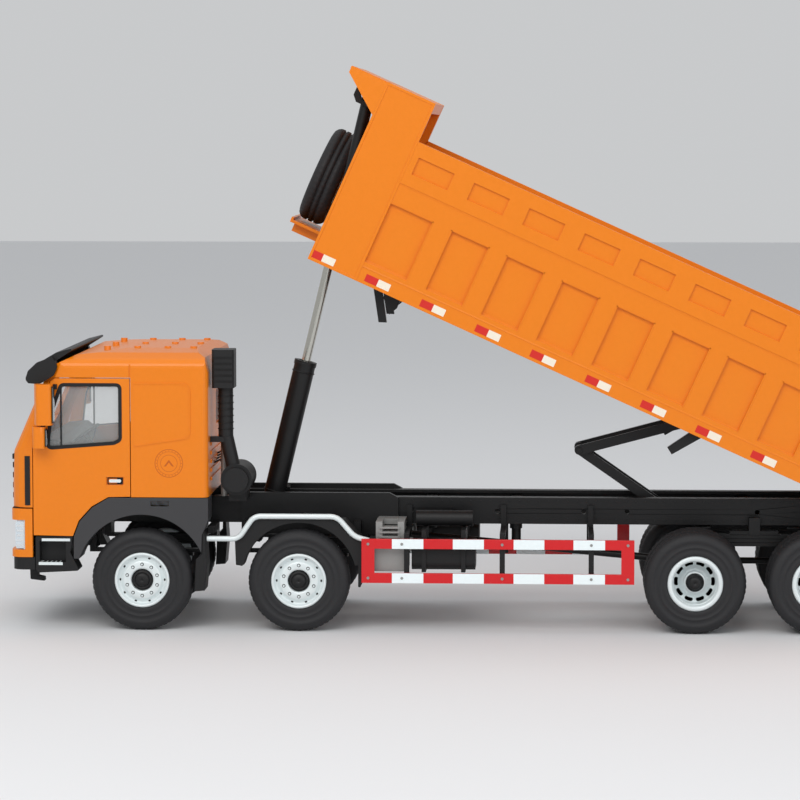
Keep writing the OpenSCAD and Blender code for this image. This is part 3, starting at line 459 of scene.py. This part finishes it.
# ---------------------------------------------------------------- cab
door_win = [(-184.4, 83.8), (-182.6, 100), (-178, 112.6), (-151.2, 112.6), (-151.2, 87.6), (-154, 86.2)]
for s, nm in ((-1, "left"), (1, "right")):
    body = "door_%s_body" % nm
    g = Geo()
    rp0 = round_poly(door_win, 2.0)
    g.frame(inset(rp0, -0.9), inset(rp0, 0.7), s * 51.2, s * 52.12)
    g.make("window_rubber_" + nm, SEAL, body, None, "black_plastic")
    g = Geo()
    # quarter-light bar inside the window
    g.box(-178.6, -177.9, min(s * 50.3, s * 51.5), max(s * 50.3, s * 51.5), 84.6, 112.2)
    g.make("quarter_light_" + nm, SEAL, body, None, "black_plastic")
    # dark cup behind the handle: painted shade in the door recess
    g = Geo()
    g.cbox(-157.2, -150.1, min(s * 51.1, s * 51.35), max(s * 51.1, s * 51.35), 67.2, 70.3, 0.3)
    g.make("handle_cup_shade_" + nm, RECESS_SHADE, body, None, "black_plastic")
    g = Geo()
    g.cbox(-156.3, -151.0, min(s * 51.3, s * 51.95), max(s * 51.3, s * 51.95), 68.1, 69.5, 0.35)
    g.rod((-151.6, s * 51.3, 68.8), (-151.6, s * 51.98, 68.8), 0.75, 20)
    g.make("handle_lever_" + nm, SILVER, body, None, "silver")
    # lamp markers, ring emblem
    g = Geo()
    g.cbox(-137.4, -129.0, min(s * 52.0, s * 52.3), max(s * 52.0, s * 52.3), 57.3, 59.9, 0.4)
    g.make("marker_lamp_" + nm, AMBER, "chassis", None, "red_lens")
    g = Geo()
    for r0, r1 in ((6.2, 6.5), (5.2, 5.36), (3.7, 3.9)):
        n = 64
        vs = []
        for i in range(n):
            a = 2 * math.pi * i / n
            vs += [(-128.9 + r0 * math.cos(a), s * 52.02, 77 + r0 * math.sin(a)), (-128.9 + r1 * math.cos(a), s * 52.02, 77 + r1 * math.sin(a)),
                   (-128.9 + r0 * math.cos(a), s * 51.9, 77 + r0 * math.sin(a)), (-128.9 + r1 * math.cos(a), s * 51.9, 77 + r1 * math.sin(a))]
        fs = []
        for i in range(n):
            j = (i + 1) % n
            fs += [(4 * i, 4 * i + 1, 4 * j + 1, 4 * j), (4 * i + 2, 4 * j + 2, 4 * j + 3, 4 * i + 3), (4 * i, 4 * j, 4 * j + 2, 4 * i + 2), (4 * i + 1, 4 * i + 3, 4 * j + 3, 4 * j + 1)]
        g.add(vs, fs)
    for k in range(24):
        a = 2 * math.pi * k / 24
        c, q = math.cos(a), math.sin(a)
        g.rod((-128.9 + 5.75 * c, s * 51.9, 77 + 5.75 * q), (-128.9 + 5.75 * c, s * 52.02, 77 + 5.75 * q), 0.22, 8)
    # plain chevron in the middle
    g.add([(-131.2, s * 52.02, 75.6), (-128.9, s * 52.02, 78.6), (-126.6, s * 52.02, 75.6), (-127.5, s * 52.02, 75.6), (-128.9, s * 52.02, 77.4), (-130.3, s * 52.02, 75.6)],
          [(0, 1, 4, 5), (1, 2, 3, 4)])
    g.make("ring_emblem_" + nm, EMBLEM, "chassis", None, "orange_paint")
    # lamps
    g = Geo()
    g.cbox(-199.6, -195.6, min(s * 51.45, s * 51.62), max(s * 51.45, s * 51.62), 37.6, 50.0, 0.6)
    g.make("lamp_side_glass_" + nm, LENS, "chassis", None, "lamp_lens")
    g = Geo()
    for z in (41.0, 46.6):
        g.rev([(0.01, 0.55), (1.0, 0.5), (1.9, 0.15), (2.1, 0.0), (2.3, 0.5), (2.5, 0.6), (2.5, 0.0)], -200.3, s * 37.5, z, -1, 32, None, "x")
    g.make("lamp_bowls_" + nm, REFLECTOR, "chassis", None, "lamp_lens")
    g = Geo()
    for i in range(5):
        g.cbox(-199.2, -196.0, min(s * 51.6, s * 51.72), max(s * 51.6, s * 51.72), 38.6 + i * 2.2, 39.6 + i * 2.2, 0.2)
    g.make("lamp_ribs_" + nm, REFLECTOR, "chassis", None, "lamp_lens")
    # mirror faces
    g = Geo()
    g.box(-180.58, -180.45, min(s * 55.6, s * 59.8), max(s * 55.6, s * 59.8), 96.4, 111.8)
    g.box(-183.98, -183.85, min(s * 55.5, s * 58.9), max(s * 55.5, s * 58.9), 85.5, 92.5)
    g.make("mirror_faces_" + nm, MIRROR, body, None, "chrome")
    # step slots, as dark strips of painted shade
    g = Geo()
    for i in range(6):
        g.box(-187.0 + i * 2.0, -185.8 + i * 2.0, min(s * 47.2, s * 51.4), max(s * 47.2, s * 51.4), 31.2, 31.45)
        g.box(-186.0 + i * 1.9, -184.8 + i * 1.9, min(s * 47.2, s * 51.4), max(s * 47.2, s * 51.4), 42.1, 42.35)
    g.make("step_slot_shade_" + nm, RECESS_SHADE, "chassis", None, "black_plastic")

# wipers
g = Geo()
for y in (-30, 2):
    g.rod((-200.15, y, 83.4), (-197.9, y + 12, 89.4), 0.35, 10)
    g.rod((-198.95, y + 3, 87.3), (-197.15, y + 24, 91.6), 0.28, 10)
g.make("wipers", SEAL, "chassis", None, "black_plastic")

# silver canister behind the cab, and hoses
g = Geo()
for y in (-32,):
    g.rod((-105.8, y, 60), (-105.8, y, 86.6), 1.5, 24)
    g.rod((-105.8, y, 86.6), (-105.8, y, 88.0), 0.8, 16)
g.make("air_canister", DULL, "chassis", None, "silver")
g = Geo()
for k, y in enumerate((-24, -20, -16, -12)):
    g.tube([(-112.5, y, 74 + k), (-108.5, y, 76 + k), (-104.5, y * 0.9, 70 + k), (-103.5, y * 0.8, 64), (-103, y * 0.75, 58.6)], 0.55, 10)
g.make("rear_hoses", PLASTIC, "chassis", None, "black_plastic")
# ribs and louvres on the air intake
g = Geo()
for z in (92, 95, 98, 101, 104, 107):
    g.tube([(-104 + 3.45 * math.cos(a * math.pi / 12), -40.5 + 3.45 * math.sin(a * math.pi / 12), z) for a in range(25)], 0.3, 8)
g.make("intake_ribs", PLASTIC, "chassis", None, "black_plastic")
# dark strips of painted shade in the gaps between the intake louvres
g = Geo()
for i in range(5):
    g.box(-109.0, -100.4, -47.05, -46.9, 113.4 + i * 2.7, 114.6 + i * 2.7)
g.make("intake_louvre_shade", RECESS_SHADE, "chassis", None, "black_plastic")

# bolts and rivets along the frame rail
g = Geo()
for s in (-1, 1):
    for i in range(46):
        x = -24 + i * 4.5
        g.rod((x, s * 18.0, 56.6), (x, s * 18.35, 56.6), 0.45, 8)
        g.rod((x, s * 18.0, 47.8), (x, s * 18.35, 47.8), 0.45, 8)
g.make("rail_rivets", BLACK, "chassis", None, "chassis_black")

# ---------------------------------------------------------------- tipping body
r = Geo(bedp)
w = Geo(bedp)
for s in (-1, 1):
    for k in range(10):
        u = 6 + 27.32 * k
        y0, y1 = min(s * 51.98, s * 52.1), max(s * 51.98, s * 52.1)
        r.cbox(u - 6, u, y0, y1, 1.5, 4.9, 0.1)
        w.cbox(u, u + 6, y0, y1, 1.5, 4.9, 0.1)
r.make("tapes_red", TAPE_R, "tipping_body", None, "red_lens")
w.make("tapes_white", TAPE_W, "tipping_body", None, "guard_red")

# folded rims of the bays: thin bright lips and the weld line of the top board
g = Geo(bedp)
for s in (-1, 1):
    a0, a1 = min(s * 51.95, s * 52.14), max(s * 51.95, s * 52.14)
    for k in range(8):
        u0 = 54.3 + 27.32 * k
        g.box(u0 - 0.5, u0, a0, a1, 9.2, 38.7)
        g.box(u0 + 18, u0 + 18.5, a0, a1, 9.2, 38.7)
        g.box(u0 - 0.5, u0 + 18.5, a0, a1, 38.3, 38.8)
    g.box(23.5, 24, a0, a1, 9.2, 38.7)
    g.box(44.6, 45.1, a0, a1, 9.2, 38.7)
    g.box(23.5, 45.1, a0, a1, 38.3, 38.8)
    g.box(24.2, 287.8, a0, a1, 66.9, 68.4)
    g.box(24.2, 287.8, a0, a1, 47.6, 48.4)
g.make("bay_lips", ORANGE, "tipping_body", None, "orange_paint")

# hoist details
HA = math.radians(13.5)


def ramp(x, y, z):
    return (-87.2 + x * math.cos(HA) + z * math.sin(HA), y, 50.4 - x * math.sin(HA) + z * math.cos(HA))


g = Geo(ramp)
for z in (9.0, 66.5, 70.6):
    g.tube([(5.1 * math.cos(a * math.pi / 24), 5.1 * math.sin(a * math.pi / 24), z) for a in range(49)], 0.3, 8)
g.rod((5.0, 0, 12), (6.6, 0, 12), 1.1, 12)
g.make("barrel_rings", PLASTIC, "ram_barrel", None, "chassis_black")

# ---------------------------------------------------------------- floor, world background, lights, camera
def stage_mat(name, c, rough):
    return material(name, c, rough, vary=0.01, scale=3.0)


g = []
me = bpy.data.meshes.new("studio_floor")
prof = [(-5.0, 0.0), (5.0, 0.0)]
vs = []
for x in (-5.0, 5.0):
    for y, z in prof:
            vs.append((x, y, z - 0.00005))
n = len(prof)
me.from_pydata(vs, [], [(i, i + 1, n + i + 1, n + i) for i in range(n - 1)])
me.update()
floor = bpy.data.objects.new("studio_floor", me)
sc.collection.objects.link(floor)
me.materials.append(stage_mat("studio_paper", rgb(226, 227, 229), 0.8))

wd = sc.world or bpy.data.worlds.new("World")
sc.world = wd
wd.use_nodes = True
bg = wd.node_tree.nodes.get("Background") or wd.node_tree.nodes.new("ShaderNodeBackground")
bg.inputs["Color"].default_value = (0.97, 0.985, 1.0, 1.0)
bg.inputs["Strength"].default_value = 0.6


def area(name, loc, aim, size, power, col=(1, 1, 1)):
    l = bpy.data.lights.new(name, "AREA")
    l.shape = "RECTANGLE"
    l.size, l.size_y = size
    l.energy = power
    l.color = col
    o = bpy.data.objects.new(name, l)
    sc.collection.objects.link(o)
    o.location = loc
    o.rotation_euler = (Vector(aim) - Vector(loc)).to_track_quat("-Z", "Y").to_euler()
    return o


area("key", (-0.35, -1.1, 0.95), (-0.02, 0.0, 0.08), (1.1, 0.7), 9.2, (1.0, 0.985, 0.96))
area("fill", (0.9, -1.1, 0.5), (0.05, 0.0, 0.1), (0.9, 0.8), 3.6, (0.95, 0.97, 1.0))
area("top", (0.0, 0.15, 1.3), (0.0, 0.05, 0.0), (1.4, 0.9), 2.2, (1.0, 1.0, 1.0))

sc.view_settings.view_transform = "Standard"
sc.view_settings.look = "None"
sc.view_settings.exposure = 0.0

cam = bpy.data.cameras.new("camera")
co = bpy.data.objects.new("camera", cam)
sc.collection.objects.link(co)
sc.camera = co
cam.sensor_width = 36.0
cam.lens = 141.2
cam.clip_start = 0.05
cam.clip_end = 20.0
loc = Vector(((47.7 + XO) * MM, -1465 * MM, 227.7 * MM))
aim = Vector(((-23.6 + XO) * MM, -52 * MM, 106.4 * MM))
co.location = loc
co.rotation_euler = (aim - loc).to_track_quat("-Z", "Y").to_euler()
